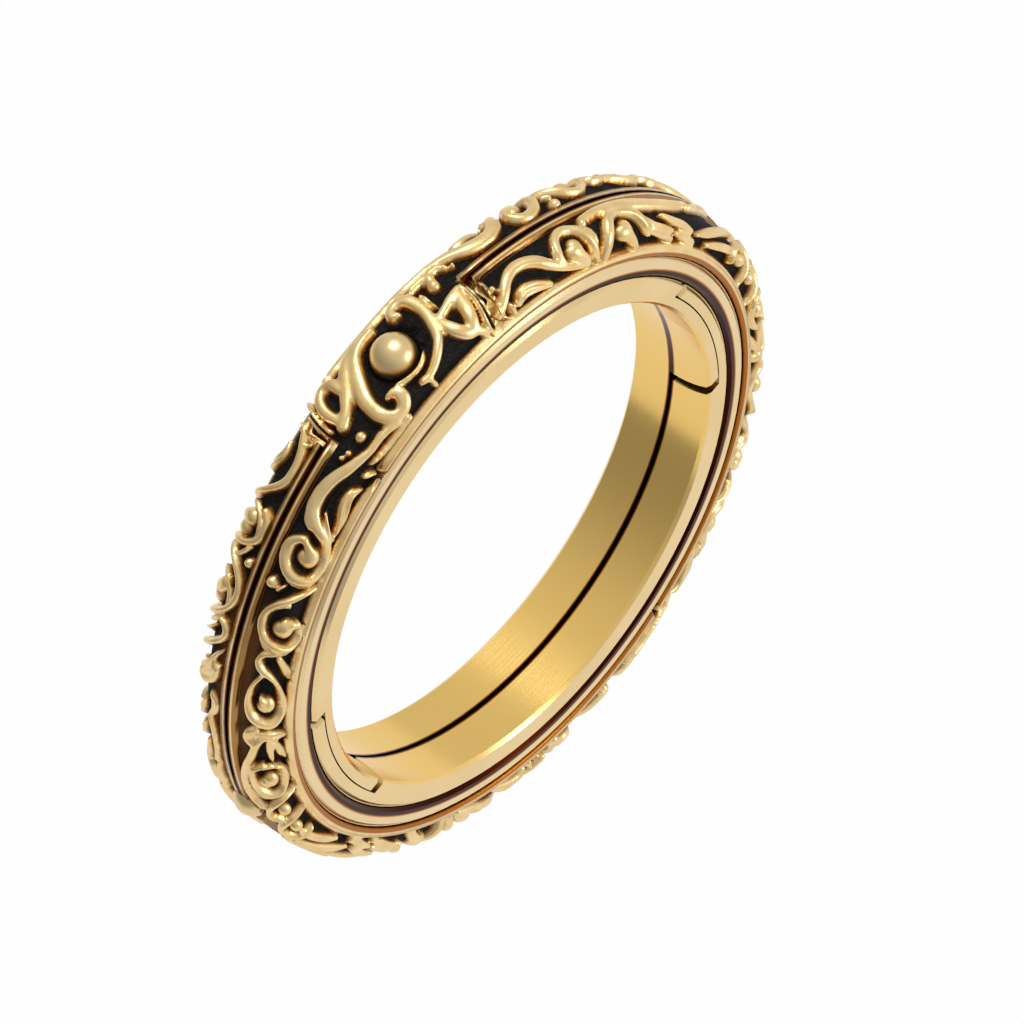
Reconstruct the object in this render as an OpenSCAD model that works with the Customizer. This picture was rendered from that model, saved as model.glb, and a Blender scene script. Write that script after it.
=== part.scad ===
// Folding armillary finger ring. Two carved bands, a plain middle ring and two
// lining bands nest as spherical shells, and open about two crossed pivot axes
// into a small sphere of rings. Millimetres.
//
// Frame: the ring's centre is the origin. The finger goes through along Y, with
// the front face towards -Y. The carved bands turn about Z, on the two ball-headed
// rivets, and the lining bands turn about X, on the two studs.

/* [Finger] */
// Inside diameter of the closed ring, where the finger goes
inside_diameter = 18.2; // [16:0.1:21]
// Width of the closed ring along the finger
band_width = 3.4; // [3:0.1:4.2]

/* [Shells] */
// Thickness of the upper lining band where it laps next to the finger
lining_inner_lap = 0.6; // [0.5:0.05:0.9]
// Thickness of the lower lining band where it laps under the middle ring
lining_outer_lap = 0.45; // [0.4:0.05:0.8]
// Thickness of the middle ring
middle_thickness = 0.7; // [0.6:0.05:1.2]
// Thickness of a carved band where it passes under the other
carved_under_lap = 0.33; // [0.3:0.01:0.6]
// Thickness of a carved band where it passes over the other
carved_over_lap = 1.12; // [1.1:0.02:1.6]
// Running gap between two shells that turn against each other
shell_clearance = 0.05; // [0.03:0.01:0.1]
// Gap along the seam between the two halves of a pair
seam_gap = 0.12; // [0.06:0.02:0.3]
// Chamfer on the edges of the middle ring and the lining bands
edge_break = 0.12; // [0.05:0.01:0.2]

/* [Laps] */
// Radius of the round lap where two bands of a pair cross
lap_radius = 3.35; // [2.6:0.05:4.4]
// Gap between the round end of a lap and the step it closes against
lap_end_gap = 0.3; // [0.1:0.05:0.4]

/* [Carved face] */
// Rounding from the crown of the carved bands down to their side faces
shoulder_radius = 0.9; // [0.6:0.05:1]
// How far the carver's ground is sunk below the tops of the scrolls
ground_drop = 0.35; // [0.28:0.01:0.4]
// Height of the plain rim left on the side faces, from the middle ring outwards
face_rim = 0.2; // [0.15:0.01:0.5]
// Width of the plain rim that runs along the seam
seam_rim_width = 0.22; // [0.15:0.01:0.4]
// How far the seam rim lies below the carved face
seam_rim_drop = 0.12; // [0.1:0.01:0.25]
// Chamfer where a carved band's side face meets the groove beside the middle ring
groove_break = 0.08; // [0.04:0.01:0.12]
// Width of a scroll along its top
scroll_top_width = 0.12; // [0.08:0.02:0.2]
// Width of a scroll at its foot
scroll_foot_width = 0.24; // [0.16:0.02:0.4]
// How far the top of a scroll lies below the full height of the carving
scroll_drop = 0.12; // [0.06:0.02:0.16]

/* [Ball-headed rivets] */
// Shank radius of the rivets that join the carved bands
rivet_radius = 0.5; // [0.4:0.05:0.7]
// Radius of the ball head
ball_radius = 0.8; // [0.7:0.05:1]
// How far the ball stands above the carved face
ball_stand = 0.4; // [0.2:0.05:0.6]
// Depth of the round recess that the ball sits in
recess_depth = 0.6; // [0.4:0.05:0.7]
// Free space round the ball in its recess
recess_clearance = 0.14; // [0.1:0.02:0.4]
// Radius of the flush tail inside the middle ring
tail_radius = 0.8; // [0.75:0.05:1]
// Height of the cone that the tail is set into
tail_height = 0.35; // [0.2:0.05:0.4]

/* [Side studs] */
// Shank radius of the studs that join the lining bands
stud_radius = 0.45; // [0.35:0.05:0.6]
// Radius of the stud's head, which stands in the seam of the carved bands
stud_head_radius = 0.6; // [0.5:0.05:0.8]
// How far the stud stands above the carved face
stud_stand = 0.2; // [0.05:0.05:0.5]
// Height of the domed end of the stud
stud_dome = 0.35; // [0.2:0.05:0.5]
// Gap between the stud's head and the notches round it
notch_clearance = 0.1; // [0.05:0.01:0.2]
// Metal left between the stud's blind hole and the finger
blind_wall = 0.25; // [0.15:0.05:0.4]

/* [Fits] */
// Radial running clearance where a band turns on a rivet or stud
pivot_clearance = 0.05; // [0.03:0.01:0.1]
// Clearance where a rivet or stud is held fast in the middle ring
seat_clearance = 0.01; // [0.01:0.01:0.03]

/* [Hidden] */

$fn = 128;
half_width = band_width / 2;

// The shells, from the finger outwards: each starts one clearance above the last.
inside_r = inside_diameter / 2;
inner_lap_top = inside_r + lining_inner_lap;
outer_lap_floor = inner_lap_top + shell_clearance;
lining_top = outer_lap_floor + lining_outer_lap;
middle_floor = lining_top + shell_clearance;
middle_top = middle_floor + middle_thickness;
carved_floor = middle_top + shell_clearance;
under_lap_top = carved_floor + carved_under_lap;
over_lap_floor = under_lap_top + shell_clearance;
crown_r = over_lap_floor + carved_over_lap;
seam_rim_r = crown_r - seam_rim_drop;

// The carved face: flat in the middle, then round the shoulder, then the side face.
crown_width = band_width - 2 * shoulder_radius;
shoulder_r = crown_r - shoulder_radius;
face_start = crown_width / 2 + shoulder_radius * PI / 2;
face_rim_r = carved_floor + face_rim;
scroll_foot = ground_drop + 0.15;

// The scrolls on the front of the left band: degrees from the top rivet, distance over
// the face from the seam, radius of its ball, radius of the scroll, and where the scroll
// starts and how far it runs round its ball, in degrees.
SCROLLS = [
    [-32.9, 1.58, 0.38, 1.03, 90, 190],
    [-45.6, 1.68, 0.36, 0.97, 85, 270],
    [-60.5, 1.63, 0.3, 0.84, 80, 215],
    [-78.5, 1.59, 0.3, 0.9, -10, 250],
    [-133.6, 1.74, 0.38, 1, -180, 165],
    [-145.7, 1.6, 0.36, 1, -173, 223]
];
// The scroll round the rivet's ball, in the same order, with no ball of its own.
DISC_SCROLL = [0, 0, 0, 1.6, 3, 97];

// A cutter reaches this far past what it cuts.
spare = 1;
reach = crown_r + ball_stand + spare;

// The rivets, along +Z from the ring's centre.
recess_r = ball_radius + recess_clearance;
recess_floor = crown_r - recess_depth;
ball_seat = recess_floor + pivot_clearance;
ball_centre = crown_r + ball_stand - ball_radius;
tail_floor = sqrt(pow(middle_floor, 2) - pow(tail_radius, 2)) + shell_clearance / 2;

// The studs, along +X from the ring's centre.
stud_foot = inside_r + blind_wall + pivot_clearance;
stud_shoulder = middle_top + seat_clearance;
stud_top = crown_r + stud_stand;
stud_dome_r = (pow(stud_head_radius, 2) + pow(stud_dome, 2)) / (2 * stud_dome);

gold = [0.86, 0.70, 0.38];
pale_gold = [0.93, 0.81, 0.55];
carved_gold = [0.72, 0.57, 0.30];

// ---- profiles: radius across, distance towards the front face up ----

// Distance from the finger axis to a sphere, at a given distance to the front.
function across(sphere_r, front) = sqrt(pow(sphere_r, 2) - pow(front, 2));

// A 45 degree cut at both corners where a sphere or a bore meets the side faces.
module corner_cuts(radius, size) {
    for (side = [-1, 1])
        translate([radius, side * half_width])
            rotate(45)
                square(size * sqrt(2), center = true);
}

// A strip across the whole of a profile, out to a given radius.
module strip(width, radius) {
    translate([0, -width / 2])
        square([radius, width]);
}

// Both carved bands together, a given depth below the full height of the carving: a
// flat crown with rounded shoulders over a sphere, and a plain rim on each side face.
module carved_profile(depth) {
    difference() {
        union() {
            strip(band_width, face_rim_r);
            strip(band_width - 2 * depth, shoulder_r);
            strip(crown_width, crown_r - depth);
            for (side = [-1, 1])
                translate([shoulder_r, side * crown_width / 2])
                    circle(r = shoulder_radius - depth);
        }
        circle(r = carved_floor);
        corner_cuts(across(carved_floor, half_width), groove_break);
    }
}

// Both lining bands together: a round bore under a sphere.
module lining_profile() {
    difference() {
        intersection() {
            circle(r = lining_top);
            strip(band_width, lining_top);
        }
        strip(band_width + spare, inside_r);
        corner_cuts(inside_r, edge_break);
        corner_cuts(across(lining_top, half_width), edge_break);
    }
}

module middle_profile() {
    difference() {
        intersection() {
            circle(r = middle_top);
            strip(band_width, middle_top);
        }
        circle(r = middle_floor);
        corner_cuts(across(middle_floor, half_width), edge_break);
        corner_cuts(across(middle_top, half_width), edge_break);
    }
}

// What is cut away behind a band that runs in front: all past the seam.
module seam_cut_profile() {
    translate([inside_r - spare, -half_width - spare])
        square([reach - inside_r, half_width + spare + seam_gap / 2]);
}

// ---- building blocks ----

// A profile turned once round the finger axis.
module round_ring() {
    rotate([90, 0, 0])
        rotate_extrude()
            children();
}

// A profile turned half way round, on the top half of the ring.
module half_ring() {
    rotate([90, 0, 0])
        rotate_extrude(angle = 180)
            children();
}

// A round cutter along +Z from a given height, such as a lap's outline or a bore.
module post(radius, from = 0) {
    translate([0, 0, from])
        cylinder(h = reach - from, r = radius);
}

// Points whatever is built along +Z at the stud on the given side.
module towards_stud(side) {
    rotate([0, side * 90, 0])
        children();
}

// ---- carved bands ----

// What the other carved band leaves free: half the width on each side of the ring,
// but not the round laps at the two rivets.
module carved_halves_cut() {
    difference() {
        for (turn = [0, 180])
            rotate([0, 0, turn])
                rotate([0, -90, 0])
                    half_ring()
                        seam_cut_profile();
        for (flip = [0, 180])
            rotate([flip, 0, 0])
                post(lap_radius, inside_r);
    }
}

// A point of the carving: degrees from the top rivet, distance over the face from the
// seam towards the front, and depth below the full height.
function carved_point(around, over, depth) =
    let (
        bend = max(0, min(90, (over - crown_width / 2) / shoulder_radius * 180 / PI)),
        r = shoulder_r + (shoulder_radius - depth) * cos(bend) - max(0, over - face_start),
        y = -min(over, crown_width / 2) - (shoulder_radius - depth) * sin(bend)
    )
    [r * sin(around), y, r * cos(around)];

// One place on a scroll: an angle round its ball and a distance from the ball.
function scroll_point(scroll, turn, distance, depth) =
    carved_point(
        scroll[0] + distance * cos(turn) / crown_r * 180 / PI,
        scroll[1] + distance * sin(turn),
        depth
    );

// A scroll: a ridge that bends over the face with the ground, in steps of 15 degrees.
module scroll_ridge(scroll) {
    steps = round(scroll[5] / 15);
    sides = [[-scroll_foot_width, scroll_foot], [-scroll_top_width, scroll_drop],
        [scroll_top_width, scroll_drop], [scroll_foot_width, scroll_foot]];
    points = [
        for (step = [0:steps], side = sides)
            scroll_point(scroll, scroll[4] + scroll[5] * step / steps, scroll[3] + side[0] / 2, side[1])
    ];
    walls = [
        for (step = [0:steps - 1], side = [0:3], half = [0, 1])
            let (a = 4 * step + side, b = 4 * step + (side + 1) % 4)
            half == 0 ? [a, b, b + 4] : [a, b + 4, a + 4]
    ];
    polyhedron(concat(points), concat(walls, [[3, 2, 1, 0], [for (side = [0:3]) 4 * steps + side]]));
}

// The ball in the middle of a scroll, part sunk in the ground.
module scroll_ball(scroll) {
    rotate([0, scroll[0], 0])
        translate([0, -crown_width / 2, shoulder_r])
            rotate([(scroll[1] - crown_width / 2) / shoulder_radius * 180 / PI, 0, 0])
                translate([0, 0, shoulder_radius - scroll_drop / 2 - scroll[2]])
                    sphere(r = scroll[2]);
}

// The raised work on the sunk ground: the rims beside the seam, and the scrolls with
// their balls.
module raised_work() {
    difference() {
        round_ring()
            difference() {
                strip(seam_gap + 2 * seam_rim_width, seam_rim_r);
                strip(seam_gap + 2 * seam_rim_width + spare, shoulder_r);
            }
        post(lap_radius);
    }
    for (turn = [0, 180])
        rotate([0, 0, turn])
            for (scroll = SCROLLS) {
                scroll_ridge(scroll);
                scroll_ball(scroll);
            }
    scroll_ridge(DISC_SCROLL);
}

// The left carved band: in front on the left, at the back on the right, over the
// other band at the top rivet and under it at the bottom one.
module carved_band() {
    difference() {
        union() {
            round_ring()
                carved_profile(ground_drop);
            raised_work();
        }
        carved_halves_cut();
        intersection() {
            post(lap_radius + lap_end_gap);
            sphere(r = over_lap_floor);
        }
        rotate([180, 0, 0])
            difference() {
                post(lap_radius + lap_end_gap);
                sphere(r = under_lap_top);
            }
        for (flip = [0, 180])
            rotate([flip, 0, 0])
                post(rivet_radius + pivot_clearance, middle_top);
        post(recess_r, recess_floor);
        for (side = [-1, 1])
            towards_stud(side)
                post(stud_head_radius + notch_clearance, middle_top);
    }
}

module carved_band_left() {
    color(carved_gold)
        carved_band();
}

// The same casting turned end for end, so it is over at the bottom rivet.
module carved_band_right() {
    color(carved_gold)
        rotate([0, 180, 0])
            carved_band();
}

// ---- lining bands ----

// Both lining bands' ring, cut to one band: in front at the top if facing is 0, or
// at the bottom if it is 180.
module lining_halves(facing) {
    difference() {
        round_ring()
            lining_profile();
        difference() {
            for (turn = [0, 180])
                rotate([turn, 0, facing])
                    half_ring()
                        seam_cut_profile();
            for (side = [-1, 1])
                towards_stud(side)
                    post(lap_radius, inside_r / 2);
        }
    }
}

// The upper lining band laps next to the finger at both studs.
module lining_band_upper() {
    color(gold)
        difference() {
            lining_halves(0);
            for (side = [-1, 1])
                towards_stud(side) {
                    difference() {
                        post(lap_radius + lap_end_gap);
                        sphere(r = inner_lap_top);
                    }
                    post(stud_radius + pivot_clearance, inside_r + blind_wall);
                }
        }
}

// The lower lining band laps outside the upper one, under the middle ring.
module lining_band_lower() {
    color(gold)
        difference() {
            lining_halves(180);
            for (side = [-1, 1])
                towards_stud(side) {
                    intersection() {
                        post(lap_radius + lap_end_gap);
                        sphere(r = outer_lap_floor);
                    }
                    post(stud_radius + pivot_clearance, inner_lap_top);
                }
        }
}

// ---- middle ring, rivets and studs ----

module middle_ring() {
    color(pale_gold)
        difference() {
            round_ring()
                middle_profile();
            for (flip = [0, 180])
                rotate([flip, 0, 0]) {
                    post(rivet_radius + seat_clearance, lining_top);
                    rivet_tail(seat_clearance);
                    translate([0, 0, lining_top])
                        cylinder(h = tail_floor - lining_top, r = tail_radius + seat_clearance);
                }
            for (side = [-1, 1])
                towards_stud(side)
                    post(stud_radius + seat_clearance, lining_top);
        }
}

// The cone that holds a rivet in the middle ring, or its seat with room round it.
module rivet_tail(room) {
    translate([0, 0, tail_floor - room])
        cylinder(h = tail_height + room, r1 = tail_radius + room, r2 = rivet_radius + room);
}

module rivet() {
    intersection() {
        translate([0, 0, ball_centre])
            sphere(r = ball_radius);
        post(ball_radius, ball_seat);
    }
    translate([0, 0, tail_floor])
        cylinder(h = ball_centre - tail_floor, r = rivet_radius);
    rivet_tail(0);
}

module top_rivet() {
    color(pale_gold)
        rivet();
}

module bottom_rivet() {
    color(pale_gold)
        rotate([180, 0, 0])
            rivet();
}

module stud() {
    intersection() {
        post(stud_head_radius, stud_shoulder);
        union() {
            translate([0, 0, stud_top - stud_dome_r])
                sphere(r = stud_dome_r);
            translate([0, 0, stud_shoulder])
                cylinder(h = stud_top - stud_dome - stud_shoulder, r = stud_head_radius);
        }
    }
    translate([0, 0, stud_foot])
        cylinder(h = stud_shoulder - stud_foot + stud_dome, r = stud_radius);
}

module left_stud() {
    color(pale_gold)
        towards_stud(-1)
            stud();
}

module right_stud() {
    color(pale_gold)
        towards_stud(1)
            stud();
}

middle_ring();
carved_band_left();
carved_band_right();
lining_band_upper();
lining_band_lower();
top_rivet();
bottom_rivet();
left_stud();
right_stud();
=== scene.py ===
# %% [markdown]
# # A folding armillary finger ring
#
# The real object is a gold finger ring that opens into a small sphere of rings. Five
# rings nest inside each other. Two are carved on the outside, one is plain, and two
# line the hole. Pins on two crossed axes let the outer pair and the lining pair fan open.
#
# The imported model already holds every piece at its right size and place. Its carved
# bands have the sunk ground, the plain rims, the balls and one plain ridge for each
# main scroll. This lesson adds what it leaves out: the full scrollwork, and the metal.

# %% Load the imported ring
from math import atan2, cos, degrees, hypot, pi, radians, sin

import bpy
import numpy as np
from mathutils import Matrix, Vector
from mathutils.bvhtree import BVHTree


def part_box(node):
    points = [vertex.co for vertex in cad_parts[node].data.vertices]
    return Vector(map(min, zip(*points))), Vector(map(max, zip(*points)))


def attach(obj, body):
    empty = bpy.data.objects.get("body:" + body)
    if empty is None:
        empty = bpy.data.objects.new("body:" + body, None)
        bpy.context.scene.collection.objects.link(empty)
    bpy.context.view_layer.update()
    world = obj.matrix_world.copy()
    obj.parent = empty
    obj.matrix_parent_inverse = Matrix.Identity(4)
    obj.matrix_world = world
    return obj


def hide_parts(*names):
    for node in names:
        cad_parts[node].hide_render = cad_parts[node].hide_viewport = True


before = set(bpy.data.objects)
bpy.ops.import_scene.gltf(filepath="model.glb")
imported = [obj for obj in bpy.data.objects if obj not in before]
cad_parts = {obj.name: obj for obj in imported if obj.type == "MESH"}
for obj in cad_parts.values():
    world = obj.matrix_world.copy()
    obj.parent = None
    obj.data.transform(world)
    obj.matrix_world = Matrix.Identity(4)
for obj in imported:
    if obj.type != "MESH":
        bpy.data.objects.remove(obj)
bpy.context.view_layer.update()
mm = 0.001
print("pieces:", ", ".join(sorted(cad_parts)))

# %% [markdown]
# ## Image points
#
# The photo is 1024 pixels square. These points are read off it: the four edges
# of the ring's outline, the middles of a few balls, and three fixed features. The
# edges set where the camera aims, and the balls set where the scrolls go. The three
# fixed features belong to the imported pieces. Each is written where its piece shows,
# which is 7 to 11 pixels up and left of where the photo has it.

# %% Where things are in the photo
PHOTO_W = 1024
PHOTO_H = 1024
OUTLINE = {"left": 196, "right": 767, "top": 175, "bottom": 858}
BALLS = {
    "stem bead": (362, 438),
    "first ball": (311, 559),
    "pair bead": (274, 584),
    "second ball": (286, 630),
    "third ball": (268, 706),
    "fourth ball": (270, 781),
    "right ball": (576, 251),
    "right curl": (626, 233),
}
FEATURES = {
    "rivet ball": (393, 354),
    "right seam corner": (461, 279),
    "left seam corner": (327, 436),
}
print(f"{len(OUTLINE)} edges, {len(BALLS)} balls and {len(FEATURES)} features")

# %% [markdown]
# ## The camera
#
# The photo was taken from far away with a long lens, so the far side of the ring is
# nearly as large as the near side. The ring stands upright in its own frame, so the
# camera looks down on it from 61 degrees and is rolled by 29. Its aim is found last:
# the camera slides sideways until the ring's outline sits in the middle of the
# photo's outline. A slide is better than a lens shift, because it stays right in other
# views.

# %% Set the camera's direction
camera_turn = radians(-23.3)
camera_height = radians(60.6)
camera_roll = radians(-29.3)
camera_distance = 300 * mm
camera_lens = 320.5
sensor_width = 36
long_side = max(PHOTO_W, PHOTO_H)

towards = Vector((
    sin(camera_turn) * cos(camera_height),
    -cos(camera_turn) * cos(camera_height),
    sin(camera_height),
))
level_right = Vector((0, 0, 1)).cross(towards).normalized()
level_up = towards.cross(level_right)
camera_right = level_right * cos(camera_roll) + level_up * sin(camera_roll)
camera_up = towards.cross(camera_right)

camera_data = bpy.data.cameras.new("camera")
camera_data.sensor_fit = "AUTO"
camera_data.sensor_width = sensor_width
camera_data.lens = camera_lens
camera_data.clip_start = 10 * mm
camera_data.clip_end = 10
camera = bpy.data.objects.new("camera", camera_data)
bpy.context.scene.collection.objects.link(camera)
bpy.context.scene.camera = camera
print("towards the camera:", [round(part, 3) for part in towards])


# %% See points through the camera
def stand_camera(aim):
    """Put the camera at its distance from a point, looking along its fixed direction."""
    turned = Matrix((camera_right, camera_up, towards)).transposed().to_4x4()
    camera.matrix_world = Matrix.Translation(aim + towards * camera_distance) @ turned
    bpy.context.view_layer.update()


def in_photo(points):
    """Where points in space show in the photo, as an array of x and y."""
    inside = np.array(camera.matrix_world.inverted())
    points = np.asarray(points, dtype=float)
    seen = points @ inside[:3, :3].T + inside[:3, 3]
    scale = long_side * camera_lens / sensor_width / -seen[:, 2]
    x = PHOTO_W / 2 + seen[:, 0] * scale
    y = PHOTO_H / 2 - seen[:, 1] * scale
    return np.stack([x, y], axis=1)


def corners_of(pieces):
    """All the vertices of some pieces, as one array."""
    found = []
    for piece in pieces:
        flat = np.empty(len(piece.data.vertices) * 3)
        piece.data.vertices.foreach_get("co", flat)
        found.append(flat.reshape(-1, 3))
    return np.concatenate(found)


def edges_in_photo(points):
    """The left, right, top and bottom edge of some points in the photo."""
    seen = in_photo(points)
    low = seen.min(axis=0)
    high = seen.max(axis=0)
    return {"left": low[0], "right": high[0], "top": low[1], "bottom": high[1]}


aim = Vector()
stand_camera(aim)
print("before it is aimed, the ring's middle shows at", in_photo([aim])[0].round(1))

# %% [markdown]
# ## The shape of the carved bands
#
# The scrollwork bends over the bands with their surface. A carved band has a flat
# crown, rounded shoulders and flat sides. Two numbers name any place on it: how many
# degrees round the ring it is from the top rivet, and how many millimetres over the
# surface it is from the seam, positive towards the front. A third number is the depth
# below the tops of the scrolls.

# %% Name places on the bands
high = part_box("carved_band_left")[1]
ground = 0.35
crown_r = 12.5
shoulder = 0.9
half_width = high.y / mm
shoulder_y = half_width - shoulder
shoulder_r = crown_r - shoulder
face_start = shoulder_y + shoulder * pi / 2
disc_radius = 3.35
band_end = 3.65
seam_rim = 0.28
ball_recess = 0.94
degree = crown_r * pi / 180


def surface_point(around, over, depth):
    """The points in space, in metres, of places on the bands at a depth."""
    side = np.abs(over)
    bend = np.clip((side - shoulder_y) / shoulder, 0, pi / 2)
    on_face = np.maximum(side - face_start, 0)
    r = shoulder_r + (shoulder - depth) * np.cos(bend) - on_face
    y = np.minimum(side, shoulder_y) + (shoulder - depth) * np.sin(bend)
    turn = np.radians(around)
    return np.stack([r * np.sin(turn), -np.sign(over) * y, r * np.cos(turn)], axis=-1) * mm


def surface_place(point):
    """Degrees from the top rivet and millimetres from the seam, for a point in space."""
    x, y, z = point / mm
    r = hypot(x, z)
    side = abs(y)
    if side <= shoulder_y:
        over = side
    elif r >= shoulder_r:
        over = shoulder_y + shoulder * atan2(side - shoulder_y, r - shoulder_r)
    else:
        over = face_start + shoulder_r - r
    return degrees(atan2(x, z)), over if y < 0 else -over


print(f"the crown is {2 * shoulder_y:.1f} mm wide, and a face starts {face_start:.2f} mm from the seam")

# %% [markdown]
# ## Aim the camera
#
# The smooth face of the bands and the ends of the pins make the ring's outline. The
# camera slides until the middle of that outline is the middle of the photo's. The
# second slide takes up what the first one leaves, because of the perspective.

# %% Slide the camera until the outline fits
around_line, over_line = np.meshgrid(np.arange(0, 360, 3), np.linspace(-2.8, 2.8, 57))
full_face = surface_point(around_line.ravel(), over_line.ravel(), 0)
pins = corners_of([node for name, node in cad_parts.items() if "rivet" in name or "stud" in name])
outline_points = np.concatenate([full_face, pins])
pixel = camera_distance * sensor_width / camera_lens / long_side
for step in range(2):
    edges = edges_in_photo(outline_points)
    off_x = (edges["left"] + edges["right"] - OUTLINE["left"] - OUTLINE["right"]) / 2
    off_y = (edges["top"] + edges["bottom"] - OUTLINE["top"] - OUTLINE["bottom"]) / 2
    aim = aim + camera_right * off_x * pixel - camera_up * off_y * pixel
    stand_camera(aim)
print("outline:", {edge: round(value, 1) for edge, value in edges_in_photo(outline_points).items()})

# %% [markdown]
# ## Find the balls in the photo
#
# A ray goes from the camera through each image point. The middle of a ball is about
# halfway between the ground and the full height, so the ray is stopped there, on a
# smooth face that runs all round the bands.

# %% Send a ray through an image point
around_row = np.arange(-180, 180, 0.5)
over_row = np.linspace(-2.9, 2.9, 117)
grid_around, grid_over = np.meshgrid(around_row, over_row, indexing="ij")
face_points = surface_point(grid_around, grid_over, ground / 2).reshape(-1, 3)
index = np.arange(len(face_points)).reshape(len(around_row), len(over_row))
beyond = np.roll(index, -1, axis=0)
quads = np.stack([index[:, :-1], beyond[:, :-1], beyond[:, 1:], index[:, 1:]], axis=2).reshape(-1, 4)
middle_face = BVHTree.FromPolygons(face_points.tolist(), quads.tolist())


def place_seen(point, tree):
    """The place on a surface that shows at an image point, or the nearest one to its ray."""
    x, y = point
    shift_x = camera_data.shift_x * long_side
    shift_y = camera_data.shift_y * long_side
    depth = -long_side * camera_lens / sensor_width
    ray = Vector((x - PHOTO_W / 2 + shift_x, PHOTO_H / 2 - y + shift_y, depth))
    way = (camera.matrix_world.to_3x3() @ ray).normalized()
    start = camera.matrix_world.translation
    hit = tree.ray_cast(start, way)[0]
    if hit is None:
        hit = tree.find_nearest(start + way * camera_distance)[0]
    return hit


ball_places = {name: surface_place(place_seen(BALLS[name], middle_face)) for name in BALLS}
for name, (around, over) in ball_places.items():
    print(f"{name}: {around:.1f} degrees, {over:.2f} mm")

# %% [markdown]
# ## Carving tools
#
# The real scrollwork was carved in wax and cast, so it stands up from a dark sunk
# ground as rounded strokes, balls and leaves. Sculpting hundreds of them by hand would
# be slow and hard to repeat, so the carving is drawn as a height map instead: a strip
# that is unrolled from the bands, in degrees one way and millimetres the other. A
# stroke is a smooth line with a width, and it raises the strip to a rounded ridge.

# %% Make a blank strip to carve
COLUMNS = 1600
ROWS = 119
STRIP_EDGE = 2.78
around_grid = np.arange(COLUMNS) * 360 / COLUMNS - 180
over_grid = np.linspace(-STRIP_EDGE, STRIP_EDGE, ROWS)
cell_around = 360 / COLUMNS * degree
cell_over = over_grid[1] - over_grid[0]
print(f"cells of {cell_around:.3f} by {cell_over:.3f} mm")


# %% Press a spot into a strip
def press(strip, spot, fullness):
    """Raise a round spot on a strip, keeping whichever is higher."""
    around, over, radius = spot
    column = (around + 180) / 360 * COLUMNS
    row = (over + STRIP_EDGE) / cell_over
    reach_around = int(radius / cell_around) + 2
    reach_over = int(radius / cell_over) + 2
    columns = np.arange(int(column) - reach_around, int(column) + reach_around + 1)
    rows = np.arange(max(0, int(row) - reach_over), min(ROWS, int(row) + reach_over + 1))
    away_around = (columns[:, None] - column) * cell_around
    away_over = (rows[None, :] - row) * cell_over
    rise = np.clip(1 - (away_around ** 2 + away_over ** 2) / radius ** 2, 0, 1) ** fullness
    window = np.ix_(columns % COLUMNS, rows)
    strip[window] = np.maximum(strip[window], rise)


SPOT_GAP = 0.03


def smooth_line(spots):
    """Closely set spots along a smooth curve through a few spots."""
    spots = np.array(spots, dtype=float)
    ends = np.concatenate([[2 * spots[0] - spots[1]], spots, [2 * spots[-1] - spots[-2]]])
    line = []
    for index in range(len(spots) - 1):
        before, start, stop, after = ends[index:index + 4]
        span = (stop - start)[:2] * (degree, 1)
        t = np.linspace(0, 1, max(2, int(hypot(*span) / SPOT_GAP)), endpoint=False)[:, None]
        bow = (2 * before - 5 * start + 4 * stop - after) * t ** 2
        swing = (3 * start - before - 3 * stop + after) * t ** 3
        line.append((2 * start + (stop - before) * t + bow + swing) / 2)
    return np.concatenate(line + [spots[-1:]])


print(f"a curve is drawn as spots {SPOT_GAP} mm apart")

# %% [markdown]
# ## Drawing on one side of a band
#
# A stroke and a leaf are drawn along a curve, and a ball is a single spot. Fullness sets
# how round the top is: the lower it is, the flatter the top and the steeper the sides.
#
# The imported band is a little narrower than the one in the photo, and its seam lies
# further back. So the strokes beside the seam slide back a little, and the ones near the
# face's rim are drawn in from it.

# %% Draw strokes, leaves and balls
STROKE_FULLNESS = 0.2
LEAF_FULLNESS = 0.3
BALL_FULLNESS = 0.5
SEAM_REACH = 1.6
SEAM_RAMP = 0.9
RIM_START = 1.7
RIM_SQUEEZE = 0.33
front = np.zeros((COLUMNS, ROWS))
back = np.zeros((COLUMNS, ROWS))
veins = np.zeros((COLUMNS, ROWS))


class Side:
    """One side of one band. Its degrees count away from the top rivet.

    Way is 1 for the right and -1 for the left, seam is how many millimetres the strokes
    beside the seam slide back, and full widens every stroke."""

    def __init__(self, strip, way, seam, full):
        self.strip = strip
        self.way = way
        self.seam = seam
        self.full = full
        self.pinned = (0, 0)

    def pin(self, ball, around, over):
        """Move what comes next, so that a ball drawn at a place lands where the photo has it."""
        seen_around, seen_over = ball_places[ball]
        self.pinned = (self.way * seen_around - around, seen_over - over)

    def moved(self, spots):
        """The spots where they go on the strip."""
        for around, over, radius in spots:
            around = self.way * (around + self.pinned[0])
            over = over + self.pinned[1]
            slide = self.seam * min(max((SEAM_REACH - over) / SEAM_RAMP, 0), 1)
            from_rim = RIM_SQUEEZE * max(over - RIM_START, 0)
            yield around, over - slide - from_rim, radius

    def stroke(self, *spots):
        """A ridge along a curve. Each spot is degrees, millimetres and half the width."""
        for around, over, radius in smooth_line(list(self.moved(spots))):
            press(self.strip, (around, over, self.full * radius), STROKE_FULLNESS)

    def leaf(self, *spots):
        """A broad stroke with a sunk vein along its middle."""
        for around, over, radius in smooth_line(list(self.moved(spots))):
            press(self.strip, (around, over, self.full * radius), LEAF_FULLNESS)
            press(veins, (around, over, 0.3 * radius + 0.02), 1)

    def ball(self, around, over, radius):
        """A round spot."""
        press(self.strip, *self.moved([(around, over, radius)]), BALL_FULLNESS)


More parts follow.
